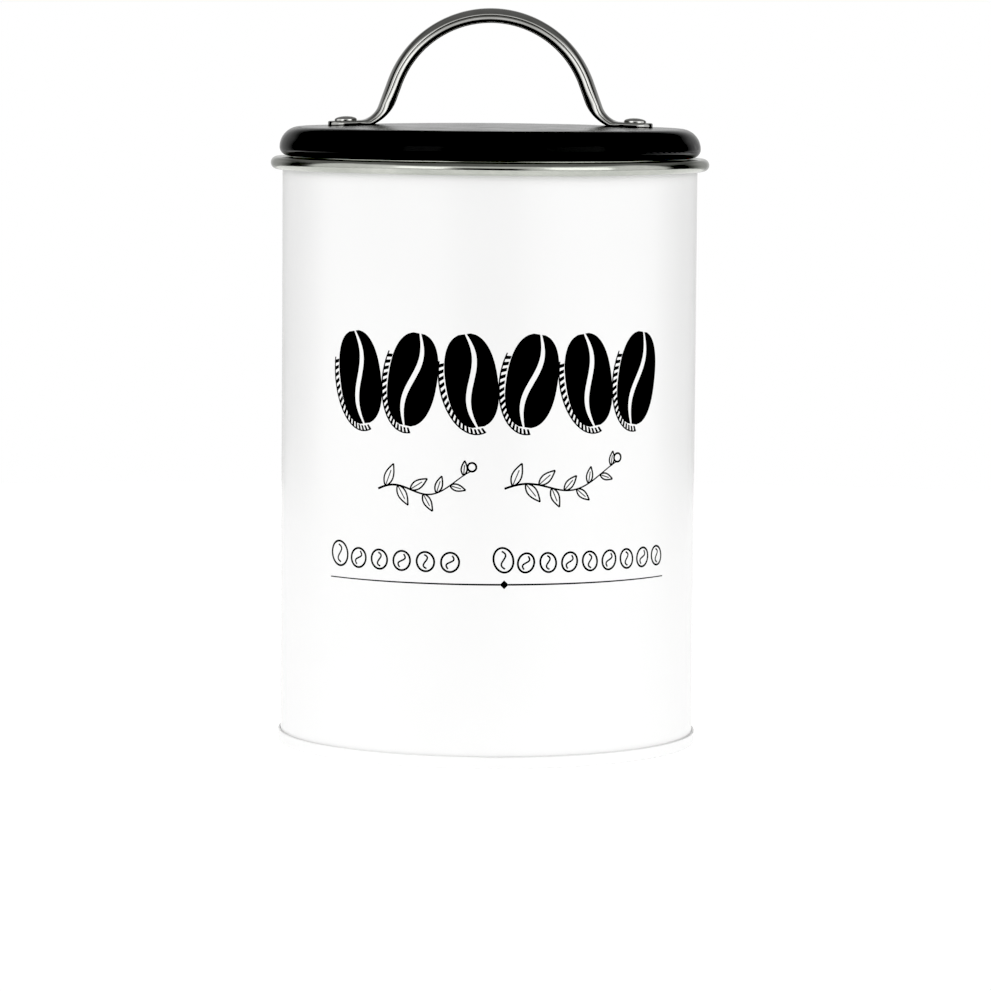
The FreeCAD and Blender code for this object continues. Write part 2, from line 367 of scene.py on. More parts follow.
# Each finish wanders between two tones
WHITE_TONES = ((0.893, 0.893, 0.89, 1), (0.902, 0.902, 0.9, 1))
LACQUER_TONES = ((0.60, 0.58, 0.52, 1), (0.74, 0.72, 0.66, 1))
BLACK_TONES = (grey(0.0025), grey(0.0045))
INK_TONES = (grey(0.002), grey(0.007))
TINPLATE_TONES = ((0.44, 0.46, 0.42, 1), (0.64, 0.65, 0.60, 1))
STEEL_TONES = ((0.42, 0.42, 0.40, 1), (0.62, 0.62, 0.60, 1))
RIVET_TONES = ((0.66, 0.66, 0.64, 1), (0.82, 0.82, 0.80, 1))
SILICONE_TONES = ((0.74, 0.75, 0.74, 1), (0.84, 0.85, 0.85, 1))
SEALANT_TONES = (grey(0.25), grey(0.36))

# Scales that draw a grain out into lines
UP_THE_WALL = (1, 1, 0.02)
ALONG_THE_STRAP = (0.03, 1, 0.03)
ROUND_THE_RING = 4 * MM         # what a radian counts for in the turning lines


def white_enamel():
    """Gloss white enamel outside, with a fine orange peel, and lacquered tin inside."""
    finish, tree, shader = new_finish("white_enamel_finish", IOR=COAT_IOR)
    where = place(tree)
    inside = inside_of_can(tree)
    cloud = grain(tree, where, size=45 * MM, detail=3)
    white = blend_colour(tree, spread(tree, cloud, low=0, high=1), *WHITE_TONES)
    rolled = grain(tree, place(tree, UP_THE_WALL), size=0.6 * MM, detail=3)
    lacquer = blend_colour(tree, spread(tree, rolled, low=0, high=1), *LACQUER_TONES)
    tree.links.new(blend_colour(tree, inside, white, lacquer), shader.inputs["Base Color"])
    tree.links.new(times(tree, inside, LACQUER_METALLIC), shader.inputs["Metallic"])
    gloss = spread(tree, grain(tree, where, size=12 * MM, detail=4), low=0.20, high=0.26)
    satin = spread(tree, rolled, low=0.28, high=0.42)
    outside = maths(tree, "SUBTRACT", 1.0, inside)
    rough = maths(tree, "ADD", times(tree, gloss, outside), times(tree, satin, inside))
    tree.links.new(rough, shader.inputs["Roughness"])
    peel = relief(tree, shader, grain(tree, where, size=1.6 * MM, detail=1), depth=0.012 * MM)
    relief(tree, shader, grain(tree, where, size=0.25 * MM, detail=1), depth=0.001 * MM, under=peel)
    return finish


def black_enamel():
    """Gloss black enamel: deep black, a slight orange peel and a little fine dust in the gloss."""
    finish, tree, shader = new_finish("black_enamel_finish", IOR=COAT_IOR, Specular_IOR_Level=DULLED)
    where = place(tree)
    tint(tree, shader, grain(tree, where, size=20 * MM, detail=3), BLACK_TONES)
    specks = grain(tree, where, size=0.7 * MM, detail=3)
    dust = spread(tree, specks, low=0.0, high=0.05, start=0.55, end=0.75)
    gloss = spread(tree, grain(tree, where, size=9 * MM, detail=3), low=0.13, high=0.19)
    tree.links.new(maths(tree, "ADD", gloss, dust), shader.inputs["Roughness"])
    peel = relief(tree, shader, grain(tree, where, size=2.2 * MM, detail=1), depth=0.01 * MM)
    relief(tree, shader, grain(tree, where, size=0.35 * MM, detail=2), depth=0.0012 * MM, under=peel)
    return finish


def print_ink():
    """Satin black printing ink, slightly uneven where it was pressed on."""
    finish, tree, shader = new_finish("print_ink_finish", IOR=COAT_IOR, Specular_IOR_Level=DULLED)
    speck = grain(tree, place(tree), size=0.5 * MM, detail=4, roughness=0.7)
    tint(tree, shader, speck, INK_TONES, start=0.5, end=0.8)
    roughen(tree, shader, speck, low=0.34, high=0.5)
    relief(tree, shader, speck, depth=0.003 * MM)
    return finish


def tinplate():
    """Bright tinplate with fine turning lines that run round the can's axis."""
    finish, tree, shader = new_finish("tinplate_finish", Metallic=1.0)
    _, _, z, angle, radius = around(tree)
    round_it = times(tree, angle, ROUND_THE_RING)
    turning = add(tree, "ShaderNodeCombineXYZ", {"X": round_it, "Y": radius, "Z": z})
    lines = grain(tree, turning.outputs["Vector"], size=0.12 * MM, detail=3)
    cloud = grain(tree, place(tree), size=14 * MM, detail=3)
    tint(tree, shader, maths(tree, "ADD", times(tree, lines, 0.4), times(tree, cloud, 0.6)), TINPLATE_TONES)
    roughen(tree, shader, cloud, low=0.10, high=0.2)
    relief(tree, shader, lines, depth=0.0015 * MM)
    return finish


def polished_steel():
    """Polished strap steel with fine brush lines along the strap."""
    finish, tree, shader = new_finish("polished_steel_finish", Metallic=1.0)
    lines = grain(tree, place(tree, ALONG_THE_STRAP), size=0.16 * MM, detail=4, roughness=0.6)
    smear = grain(tree, place(tree), size=6 * MM, detail=3)
    tint(tree, shader, maths(tree, "ADD", times(tree, lines, 0.6), times(tree, smear, 0.4)), STEEL_TONES)
    roughen(tree, shader, lines, low=0.10, high=0.17)
    relief(tree, shader, lines, depth=0.0006 * MM)
    return finish


def rivet_steel():
    """Bright nickelled steel, lightly marked where the rivet was set."""
    finish, tree, shader = new_finish("rivet_steel_finish", Metallic=1.0)
    marks = grain(tree, place(tree), size=0.8 * MM, detail=4, roughness=0.6)
    tint(tree, shader, marks, RIVET_TONES)
    roughen(tree, shader, marks, low=0.12, high=0.26)
    relief(tree, shader, marks, depth=0.004 * MM)
    return finish


def silicone():
    """Milky soft silicone."""
    finish, tree, shader = new_finish("silicone_finish", IOR=1.41, Subsurface_Weight=0.35,
                                      Subsurface_Scale=2 * MM)
    haze = grain(tree, place(tree), size=4 * MM, detail=3)
    tint(tree, shader, haze, SILICONE_TONES)
    roughen(tree, shader, haze, low=0.4, high=0.55)
    relief(tree, shader, grain(tree, place(tree), size=0.6 * MM, detail=2), depth=0.006 * MM)
    return finish


def sealant():
    """Dull grey seaming compound."""
    finish, tree, shader = new_finish("sealant_finish", IOR=COAT_IOR)
    lumps = grain(tree, place(tree), size=0.9 * MM, detail=4)
    tint(tree, shader, lumps, SEALANT_TONES)
    roughen(tree, shader, lumps, low=0.6, high=0.8)
    relief(tree, shader, lumps, depth=0.02 * MM)
    return finish


FINISH = {
    "white_enamel": white_enamel(),
    "black_enamel": black_enamel(),
    "tinplate": tinplate(),
    "polished_steel": polished_steel(),
    "rivet_steel": rivet_steel(),
    "silicone": silicone(),
    "sealant": sealant(),
}
INK = print_ink()


def finish_cad_nodes():
    """Give every CAD node the detailed finish of its own slot."""
    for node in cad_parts.values():
        for place_for in node.material_slots:
            place_for.material = FINISH[place_for.material.name.split(".")[0]]


# ---------------------------------------------------------------- the can

WAVE = 0.07 * MM            # the most that the thin wall can be out of round
WAVE_FADE = 14 * MM         # the wall is true again this near the seam and the ring
WAVE_HEIGHT = 70 * MM
WAVES_ROUND = 1.3           # the higher, the more waves round the can
LAP_SOFT = 0.25 * MM        # width of the soft edge of the side lap
LAP_STEPS = 10
LAP_CLEAR = 1.05            # even steps this close to the lap's own steps are left out
SEAM_ARC_STEP = math.radians(30)
WALL_STEP = 2.5 * MM
WALL_TURN = 360


def wall_wave(angle, z):
    """Slight unevenness of the rolled wall, none where it is held by the seam and the ring."""
    spot = Vector((math.sin(angle) * WAVES_ROUND, math.cos(angle) * WAVES_ROUND, z / WAVE_HEIGHT))
    held = eased(min(z - SEAM_H, MOUTH_TOP - 2 * BEAD_ROLL - z) / WAVE_FADE)
    return WAVE * noise.noise(spot) * held


def lap_rise(angle):
    """Height of the welded side lap at the back, with soft edges."""
    across = abs(math.pi - angle % math.tau) * CAN_R
    return LAP_PROUD * eased((LAP_WIDTH / 2 - across) / LAP_SOFT)


def bend_wall(angle, r, z):
    """The wall's waves everywhere, and the side lap on its outside between the seam and the ring."""
    r += wall_wave(angle, z)
    lapped = SEAM_H + BEAD_ROLL / 2 < z < MOUTH_TOP - 2 * BEAD_ROLL and r > CAN_R - TIN / 2
    return (r + lap_rise(angle), z) if lapped else (r, z)


def build_wall():
    path = rounded_path([
        (CAN_R - TIN, MOUTH_TOP - BEAD_ROLL, 0),
        (CAN_R - TIN, SEAM_FOLD_LOW, SEAM_BEND),
        (SEAM_FOLD_R, SEAM_FOLD_LOW, SEAM_BEND),
        (SEAM_FOLD_R, SEAM_FOLD_TOP, 0),
    ], SEAM_ARC_STEP)
    loop = sheet_loop(filled(path, WALL_STEP), TIN)
    lap_edge = LAP_WIDTH / CAN_R
    near_lap = [math.pi + lap_edge * (2 * t - 1) for t in shares(2 * LAP_STEPS)]
    elsewhere = [a for a in even_turn(WALL_TURN) if abs(a - math.pi) > lap_edge * LAP_CLEAR]
    verts, faces = lathe(loop, sorted(elsewhere + near_lap), bend_wall)
    piece("can_wall", verts, faces, "can", "white_enamel", sharp=30, stands_for=["can_body"])


SWELL_AT = math.radians(25)      # the rolled ring is a little fuller here
SWELL_SPAN = math.radians(17)
SWELL = 0.3 * MM
WANDER = 0.06 * MM
WANDER_WAVES = ((1, 3, 0.6), (0.6, 7, 2.1), (0.35, 17, 0))      # height, waves in a turn, start angle
WANDER_SIDEWAYS = 0.4            # how much of the wander and of the swell goes outwards
SWELL_SIDEWAYS = 0.2
RING_STEP = 1.2 * MM
RING_TURN = 420


def bend_ring(angle, r, z):
    """The rolled bead wanders slightly and is fuller at one place; the mouth inside stays true."""
    rolled = min(1, max(0, (r - CAN_R) / (RING_R - CAN_R)))
    low = min(1, max(0, (MOUTH_TOP - z) / (2 * BEAD_ROLL)))
    off = (angle - SWELL_AT + math.pi) % math.tau - math.pi
    swell = SWELL * math.exp(-(off / SWELL_SPAN) ** 2)
    wander = WANDER * sum(height * math.sin(waves * angle + start) for height, waves, start in WANDER_WAVES)
    outward = wander * WANDER_SIDEWAYS + swell * low * SWELL_SIDEWAYS
    return r + rolled * outward, z - rolled * low * (wander + swell)


def build_ring():
    low = MOUTH_TOP - 2 * BEAD_ROLL
    path = rounded_path([
        (RING_INSIDE_EDGE, low, 0),
        (RING_R, low, BEAD_ROLL),
        (RING_R, MOUTH_TOP, BEAD_ROLL),
        (MOUTH_R, MOUTH_TOP, BEAD_ROLL),
        (MOUTH_R, RING_LOW.z, 0),
    ])
    loop = sheet_loop(filled(path, RING_STEP), RING_SHEET)
    verts, faces = lathe(loop, even_turn(RING_TURN), bend_ring)
    piece("rolled_mouth_ring", verts, faces, "can", "tinplate", sharp=40, stands_for=["mouth_ring"])


# ---------------------------------------------------------------- the lid's gasket

LIPS = 3
LIP_REACH = 1.4 * MM
LIP_SHAPE = 1.6             # the higher, the more pointed the lips
GASKET_CORE = 1.6 * MM      # thickness of the band that carries the lips
GASKET_ROWS = 72
GASKET_TURN = 300


def build_gasket():
    """Soft ring with rounded lips."""
    core = GASKET_HIGH.x - LIP_REACH
    inside = core - GASKET_CORE
    outer = []
    for share in shares(GASKET_ROWS):
        lip = max(0, math.sin(math.pi * (share * LIPS % 1))) ** LIP_SHAPE
        outer.append((core + LIP_REACH * lip, mix(GASKET_LOW.z, GASKET_HIGH.z, share)))
    loop = outer + [(inside, GASKET_HIGH.z), (inside, GASKET_LOW.z)]
    verts, faces = lathe(loop, even_turn(GASKET_TURN))
    piece("lid_seal_ring", verts, faces, "seal", "silicone", sharp=50, stands_for=["lid_gasket"])


# ---------------------------------------------------------------- the handle

CREASE_WIDTH = 0.22 * MM
CREASE_DEEP = 0.12 * MM
EDGE_ROUND = 0.2 * MM
FOOT_EDGE_R = 0.75 * MM
SHOULDER_R = 0.95 * MM
END_ROUND = 0.3 * MM
SET_IN = 0.36 * MM                  # how far the flange's top stands in from its free edge
FLANK_CURVE = 3                     # how quickly the flange comes out again below the crease
FLAT_SHARE = 0.3                    # share of the half width that stays flat in the middle
INNER_BEND_R = 0.6 * MM
INNER_BEND_SHARE = 0.8              # share of the hollow's depth that its bend may take up
LEAST_HOLLOW = 0.02 * MM
LEAST_CREASE = 0.01 * MM
LEAST_FLANK = 0.05 * MM
LEAST_INNER = 0.4 * MM
BACK_SLOPE = math.radians(30)       # how steep the strap's back gets before its shoulder
SHOULDER_SLOPE = math.radians(80)   # and at the end of the shoulder
FLAT_STEPS = 3
CURVE_STEPS = 10
CORNER_STEPS = 8
FLANK_STEPS = 12
QUARTER = (math.radians(30), math.radians(60), math.radians(90))


def crown_slope(x):
    """Angle that the cover's domed top falls at, this far from the axis."""
    return math.asin(x / CROWN_R)


def crown_z(x):
    return CROWN_TOP - CROWN_R * (1 - math.cos(crown_slope(x)))


def crossing(point_a, slope_a, point_b, slope_b):
    """Where two lines meet, each given by a point (x, z) and its slope."""
    x = (point_b[1] - point_a[1] + slope_a * point_a[0] - slope_b * point_b[0]) / (slope_a - slope_b)
    return x, point_a[1] + slope_a * (x - point_a[0])


def strap_line(depth, bend, foot_drop):
    """One long line of the strap, from the left foot to the right one, this deep below its back."""
    radius = ARCH_R - depth
    peak = HANDLE_HIGH.z - ARCH_R + radius / math.sin(LEG_LEAN)
    leg_slope = -1 / math.tan(LEG_LEAN)
    foot_slope = -math.tan(crown_slope(RIVET_X))
    foot_point = (RIVET_X, crown_z(RIVET_X) + foot_drop)
    knee = crossing((0, peak), leg_slope, foot_point, foot_slope)
    toe = foot_point[1] + foot_slope * (FOOT_END - RIVET_X)
    corners = [
        (-FOOT_END, toe, 0),
        (-knee[0], knee[1], bend),
        (0, peak, radius),
        (*knee, bend),
        (FOOT_END, toe, 0),
    ]
    bends = (FLARE_STEPS, ARCH_STEPS, FLARE_STEPS)
    return paired_path(corners, bends)


# Shares of each straight at which the strap gets a section; the foot's rounded end needs them closer
FOOT_STEPS = [0, 0.006, 0.014, 0.03, 0.06, 0.1, 0.15, 0.22, 0.3, 0.38, 0.47, 0.56, 0.66, 0.78, 0.9, 1]
LEG_STEPS = shares(16)
FLARE_STEPS = 28
ARCH_STEPS = 150


def paired_path(corners, bends):
    """Points through corners (x, z, radius), with a fixed number on each straight and each bend, so
    that two such paths pair up point by point."""
    spots = [Vector((x, z)) for x, z, _ in corners]
    runs = []
    arcs = []
    reached = spots[0]
    for before, here, after, corner, steps in zip(spots, spots[1:], spots[2:], corners[1:], bends):
        come = (here - before).normalized()
        go = (after - here).normalized()
        turn = math.copysign(1, come.cross(go))
        sweep = come.angle(go)
        start = here - come * corner[2] * math.tan(sweep / 2)
        side = Vector((-come.y, come.x)) * turn
        centre = start + side * corner[2]
        arc = [centre - (Matrix.Rotation(sweep * turn * i / steps, 2) @ side) * corner[2]
               for i in range(1, steps)]
        runs.append((reached, start))
        arcs.append(arc)
        reached = here + go * corner[2] * math.tan(sweep / 2)
    runs.append((reached, spots[-1]))
    foot_back = [1 - s for s in reversed(FOOT_STEPS)]
    straights = [FOOT_STEPS, LEG_STEPS, LEG_STEPS, foot_back]
    path = []
    for (start, end), steps, arc in zip(runs, straights, arcs + [[]]):
        path += [mix(start, end, s) for s in steps] + arc
    return path


def foot_half_width(x):
    """Half the strap's width, narrowing round the foot's corners."""
    past = max(0, abs(x) - (FOOT_END - FOOT_CORNER))
    return STRAP_HALF - FOOT_CORNER + math.sqrt(max(0, FOOT_CORNER**2 - past**2))


def half_skin(half, depth, share):
    """Outer skin (across, depth) from the strap's middle to its free edge; share is 0 where the
    strap is flat and 1 where it is a full channel with a crowned back and a pressed crease."""
    set_in = SET_IN * share
    corner = mix(FOOT_EDGE_R, SHOULDER_R, share)
    slope = BACK_SLOPE * share
    corner_across = corner * (math.sin(SHOULDER_SLOPE) - math.sin(slope))
    corner_drop = corner * (math.cos(slope) - math.cos(SHOULDER_SLOPE))
    flat = FLAT_SHARE * half
    curve = half - set_in - corner_across - flat
    sag = curve * math.tan(slope / 2)
    skin = [(flat * i / FLAT_STEPS, 0) for i in range(FLAT_STEPS)]
    skin += [(flat + curve * t, sag * t**2) for t in shares(CURVE_STEPS)]
    for t in shares(CORNER_STEPS)[1:]:
        lean = mix(slope, SHOULDER_SLOPE, t)
        across = flat + curve + corner * (math.sin(lean) - math.sin(slope))
        skin.append((across, sag + corner * (math.cos(slope) - math.cos(lean))))
    drop = sag + corner_drop
    crease = CREASE_WIDTH * share + LEAST_CREASE
    skin.append((half - set_in - CREASE_DEEP * share, drop + crease / 2))
    start = drop + crease
    end = max(depth - EDGE_ROUND, start + LEAST_FLANK)
    skin += [(half - set_in * (1 - t) ** FLANK_CURVE, mix(start, end, t)) for t in shares(FLANK_STEPS)]
    return skin


def strap_section(back, edge, share):
    """Closed section of the strap as (across, depth below its back)."""
    depth = (edge - back).length
    half = foot_half_width(back.x)
    outer = half_skin(half, depth, share)
    lip = outer[-1][0]
    foot = [(lip - EDGE_ROUND * (1 - math.cos(a)), depth - EDGE_ROUND * (1 - math.sin(a))) for a in QUARTER]
    under = min(STRAP_SHEET, depth - LEAST_HOLLOW)
    inner = max(half - FLANGE, LEAST_INNER)
    bend = min(INNER_BEND_R, max(depth - under, LEAST_HOLLOW)) * INNER_BEND_SHARE
    hollow = [(inner, depth), (inner, under + bend)]
    hollow += [(inner - bend * (1 - math.cos(a)), under + bend * (1 - math.sin(a))) for a in QUARTER]
    right = outer + foot + hollow
    left = [(-y, d) for y, d in right[::-1] if y > 0]
    return right + left


def end_drop(back):
    """The foot's upper edge is rounded at its very end too."""
    into = max(0, abs(back.x) - (FOOT_END - END_ROUND))
    return END_ROUND - math.sqrt(max(0, END_ROUND**2 - into**2))


def build_handle():
    """Sections from foot to foot; where the channel would sink into the lid its depth is cut back."""
    backs = strap_line(0, FLARE_R, STRAP_SHEET)
    edges = strap_line(CHANNEL_DEPTH, INNER_FLARE_R, -FLARE_TUCK)
    slope = math.tan(crown_slope(RIVET_X))
    level = crown_z(RIVET_X) + slope * RIVET_X
    sections = []
    for back, edge in zip(backs, edges):
        rise = back.y - (level - slope * abs(back.x))
        fall = rise - (edge.y - (level - slope * abs(edge.x)))
        reach = min(1, rise / fall) if fall > 0 else 1
        edge = mix(back, edge, reach)
        down = (edge - back).normalized()
        depth = (edge - back).length
        share = min(1, max(0, (depth - STRAP_SHEET) / (CHANNEL_DEPTH - STRAP_SHEET)))
        drop = end_drop(back)
        section = []
        for across, d in strap_section(back, edge, share):
            spot = back + down * max(d, drop)
            section.append((spot.x, across, spot.y))
        sections.append(section)
    verts, faces = loft(sections)
    piece("strap_handle", verts, faces, "lid", "polished_steel", sharp=38, stands_for=["handle"])


# ---------------------------------------------------------------- the rivets

HEAD_R = 2.9 * MM
HEAD_H = 1.15 * MM
BRIM = 0.25 * MM
SHANK_R = 1.6 * MM
TAIL_R = 2.5 * MM
TAIL_H = 0.9 * MM
HEAD_CHAMFER = 0.08 * MM
TAIL_CHAMFER = 0.15 * MM
TAIL_END_CHAMFER = 0.3 * MM
SEAT_GAP = 0.01 * MM
HEAD_STEPS = 14
RIVET_TURN = 64


def build_rivet(side, name, node):
    """Domed head on the strap, a shank through the lid, and a closed tail under the washer."""
    seat = STRAP_SHEET + SEAT_GAP
    under = -COVER_SHEET - WASHER_SHEET - 3 * SEAT_GAP
    end = under - TAIL_H
    rise = HEAD_H - BRIM
    dome = [(HEAD_R * math.sin(a), seat + BRIM + rise * math.cos(a))
            for a in [math.pi / 2 * t for t in shares(HEAD_STEPS)]]
    loop = [(0, seat + HEAD_H)] + dome[1:]
    loop += [(HEAD_R, seat + HEAD_CHAMFER), (HEAD_R - HEAD_CHAMFER, seat), (SHANK_R, seat), (SHANK_R, under)]
    loop += [(TAIL_R - TAIL_CHAMFER, under), (TAIL_R, under - TAIL_CHAMFER)]
    loop += [(TAIL_R, end + TAIL_END_CHAMFER), (TAIL_R - TAIL_END_CHAMFER, end), (0, end)]
    verts, faces = lathe_solid(loop, RIVET_TURN)
    lean = Matrix.Rotation(crown_slope(RIVET_X) * side, 3, "Y")
    at = Vector((RIVET_X * side, 0, crown_z(RIVET_X)))
    verts = [tuple(lean @ Vector(v) + at) for v in verts]
    piece(name, verts, faces, "lid", "rivet_steel", sharp=35, stands_for=[node])


# ---------------------------------------------------------------- the print on the front

INK_SUNK = 0.02 * MM
INK_PROUD = 0.03 * MM
LINE_STEPS = 60


def on_wall(u, z, proud):
    """Point on the can's wall; u is the distance round it from the front, towards +X."""
    angle = u / CAN_R
    r = CAN_R + wall_wave(angle, z) + proud
    return (r * math.sin(angle), -r * math.cos(angle), z)


class Ink:
    """Collects thin slabs of print that follow the wall. Its points (u, z) and widths are in
    millimetres, and so are the sizes of everything printed below."""

    def __init__(self):
        self.verts = []
        self.faces = []

    def panel(self, left, right, columns=1):
        """Slab between two equally long lines of points."""
        rows = len(left)
        width = columns + 1
        base = len(self.verts)
        for proud in (INK_PROUD, -INK_SUNK):
            for (lu, lz), (ru, rz) in zip(left, right):
                for c in range(width):
                    t = c / columns
                    self.verts.append(on_wall(mix(lu, ru, t) * MM, mix(lz, rz, t) * MM, proud))
        under = rows * width
        for r in range(rows - 1):
            for c in range(columns):
                a = base + r * width + c
                self.faces.append((a, a + 1, a + width + 1, a + width))
                self.faces.append((a + under, a + width + under, a + width + 1 + under, a + 1 + under))
        rim = [r * width for r in range(rows)]
        rim = rim[::-1] + list(range(1, columns)) + [r * width + columns for r in range(rows)]
        rim += [(rows - 1) * width + c for c in range(columns - 1, 0, -1)]
        for a, b in zip(rim, rim[1:] + rim[:1]):
            self.faces.append((base + b, base + a, base + a + under, base + b + under))

    def stroke(self, points, width):
        """Line of ink through points; width is a number or a function of the share along it."""
        left = []
        right = []
        for i, here in enumerate(points):
            before = Vector(points[max(0, i - 1)])
            after = Vector(points[min(len(points) - 1, i + 1)])
            along = (after - before).normalized()
            half = (width(i / (len(points) - 1)) if callable(width) else width) / 2
            side = Vector((-along.y, along.x)) * half
            left.append(tuple(Vector(here) + side))
            right.append(tuple(Vector(here) - side))
        self.panel(left, right)

    def make(self, name):
        piece(name, self.verts, self.faces, "can", "black_enamel", sharp=60, finish=INK)


def turned(points, centre, tilt):
    """Points about the origin, tilted and moved to a centre."""
    c = math.cos(tilt)
    s = math.sin(tilt)
    return [(centre[0] + x * c - y * s, centre[1] + x * s + y * c) for x, y in points]


BEAN_POWER = 2.35       # above 2, so that a bean is fuller than an ellipse


def bean_side(half_w, v, side):
    """Edge of a bean at height share v from -1 to 1."""
    return side * half_w * (1 - abs(v) ** BEAN_POWER) ** (1 / BEAN_POWER)


CREASE_WIND = 0.24      # how far the crease winds, as a share of half the bean's width
CREASE_TURN = 0.95      # 1 would bring it back to the middle at the tips


def crease_line(half_w, v):
    """A bean's winding crease at height share v from -1 to 1."""
    return half_w * CREASE_WIND * math.sin(math.pi * v * CREASE_TURN)


BEANS = 6
BEAN_ROW = (-43.2, 49.0)
BEAN_ROW_Z = (84.8, 110.5)
BEAN_FILL = 0.43                # half a bean's width, as a share of the pitch
BEAN_MARGIN = 0.9
BEAN_SHIFT = 0.5                # to the right and up, which leaves room for the shade
BEAN_TILT = math.radians(9)
BEAN_TIP = 0.985                # height share where a bean is cut off
BEAN_STEPS = 46
BEAN_COLUMNS = 4
CREASE_HALF_TIP = 0.035         # half the crease's width at the tips, as a share of half the bean's
CREASE_HALF_MORE = 0.075        # and what the middle has over that


def build_bean_row():
    """Row of bold coffee beans, each with a winding crease and a hatched shade on its lower left."""
    ink = Ink()
    pitch = (BEAN_ROW[1] - BEAN_ROW[0]) / BEANS
    half_w = pitch * BEAN_FILL
    half_h = (BEAN_ROW_Z[1] - BEAN_ROW_Z[0]) / 2 - BEAN_MARGIN
    heights = [mix(-BEAN_TIP, BEAN_TIP, t) for t in shares(BEAN_STEPS)]
    for index in range(BEANS):
        centre = (BEAN_ROW[0] + pitch * (index + 0.5) + BEAN_SHIFT, sum(BEAN_ROW_Z) / 2 + BEAN_SHIFT)
        tilt = -BEAN_TILT if index % 2 else BEAN_TILT
        for side in (-1, 1):
            outline = [(bean_side(half_w, v, side), v * half_h) for v in heights]
            crease = []
            for v in heights:
                gap = half_w * (CREASE_HALF_TIP + CREASE_HALF_MORE * (1 - v * v))
                crease.append((crease_line(half_w, v) + side * gap, v * half_h))
            left, right = (outline, crease) if side < 0 else (crease, outline)
            ink.panel(turned(left, centre, tilt), turned(right, centre, tilt), BEAN_COLUMNS)
        add_shade(ink, centre, half_w, half_h, tilt)
    ink.make("print_bean_row")


SHADE_NEAR = 1.05               # the dashes run between these two enlargements of the bean
SHADE_FAR = 1.25
SHADE_FROM = math.radians(-100)
SHADE_TO = math.radians(28)
SHADE_STROKE = 0.32
DASHES = 17
DASH_START = 0.18               # shares of the pitch between dashes
DASH_WIDTH = 0.54
DASH_SLANT = 0.43


def add_shade(ink, centre, half_w, half_h, tilt):
    """Hatched shade beside a bean: short slanting dashes closed by a thin outer line."""
    def rim(angle, grow):
        x = -math.cos(angle) * half_w * grow
        y = math.sin(angle) * (half_h + half_w * (grow - 1))
        return x, y

    pitch = (SHADE_TO - SHADE_FROM) / DASHES
    for i in range(DASHES):
        near = SHADE_FROM + pitch * (i + DASH_START)
        far = near - pitch * DASH_SLANT
        width = pitch * DASH_WIDTH
        lower = [rim(near, SHADE_NEAR), rim(far, SHADE_FAR)]
        upper = [rim(near + width, SHADE_NEAR), rim(far + width, SHADE_FAR)]
        ink.panel(turned(upper, centre, tilt), turned(lower, centre, tilt))
    start = SHADE_FROM + pitch * (DASH_START - DASH_SLANT)
    line = [rim(start + (SHADE_TO - SHADE_FROM) * t, SHADE_FAR) for t in shares(LINE_STEPS)]
    ink.stroke(turned(line, centre, tilt), SHADE_STROKE)


SPRIG_STROKE = 0.48
STEM_STROKES = (1.15, 0.55)     # shares of the stroke at the stem's start and end
LEAF_STROKE = 0.8
VEIN_STROKE = 0.5
SPRIGS = (((-29.0, 69.6), 25.0, 7), ((4.2, 70.4), 31.0, 9))     # where it starts, length, leaves
STEM_RISE = 0.17                # share of the stem's length
STEM_WAVE = 1.7
STEM_TURNS = 1.15
STEM_START = 0.06               # share of a wave
LEAF_LENGTH = 6.4
LEAF_SHRINK = 0.45              # the last leaf is shorter by this share
LEAF_PLUMP = 0.2
LEAF_BULGE = 0.8                # below 1, so that a leaf is widest nearer its stem
LEAF_TILT = math.radians(52)
LEAF_STEPS = 14
FIRST_LEAF = 0.6                # where it grows, as a share of the spacing of the leaves
STEM_SPARE = 0.2                # spacings left over, so that a bare tip carries the cherry
VEIN_SPOTS = (0, 0.35, 0.7)     # shares of the leaf's length
CHERRY_R = 1.1
CHERRY_LIFT = 0.9
CHERRY_STEPS = 24
CHERRY_START = -1.7             # angle where its outline is closed


def leaf(at, length, tilt, plump):
    """The two edges of a small leaf that starts at a point and ends in a tip."""
    edges = []
    for side in (1, -1):
        points = [(length * t, side * plump * math.sin(math.pi * t**LEAF_BULGE)) for t in shares(LEAF_STEPS)]
        edges.append(turned(points, at, tilt))
    return edges


def build_sprigs():
    """Two slender sprigs of coffee leaves, each ending in a cherry and rising a little to the right."""
    ink = Ink()
    for (u, z), length, leaves in SPRIGS:
        def stem(t):
            wave = STEM_WAVE * math.sin(math.tau * (t * STEM_TURNS + STEM_START))
            return (u + length * t, z + length * STEM_RISE * t * t + wave)

        ink.stroke([stem(t) for t in shares(LINE_STEPS)], lambda t: SPRIG_STROKE * mix(*STEM_STROKES, t))
        for i in range(leaves):
            t = (i + FIRST_LEAF) / (leaves + STEM_SPARE)
            here = stem(t)
            ahead = stem(t + 0.01)
            along = math.atan2(ahead[1] - here[1], ahead[0] - here[0])
            tilt = along + LEAF_TILT * (1 if i % 2 == 0 else -1)
            size = LEAF_LENGTH * (1 - LEAF_SHRINK * t)
            for edge in leaf(here, size, tilt, size * LEAF_PLUMP):
                ink.stroke(edge, SPRIG_STROKE * LEAF_STROKE)
            vein = turned([(size * spot, 0) for spot in VEIN_SPOTS], here, tilt)
            ink.stroke(vein, SPRIG_STROKE * VEIN_STROKE)
        tip = stem(1)
        angles = [CHERRY_START + math.tau * t for t in shares(CHERRY_STEPS)]
        ink.stroke([(tip[0] + CHERRY_R * math.cos(a), tip[1] + CHERRY_LIFT + CHERRY_R * math.sin(a))
                    for a in angles], SPRIG_STROKE)
    ink.make("print_sprigs")


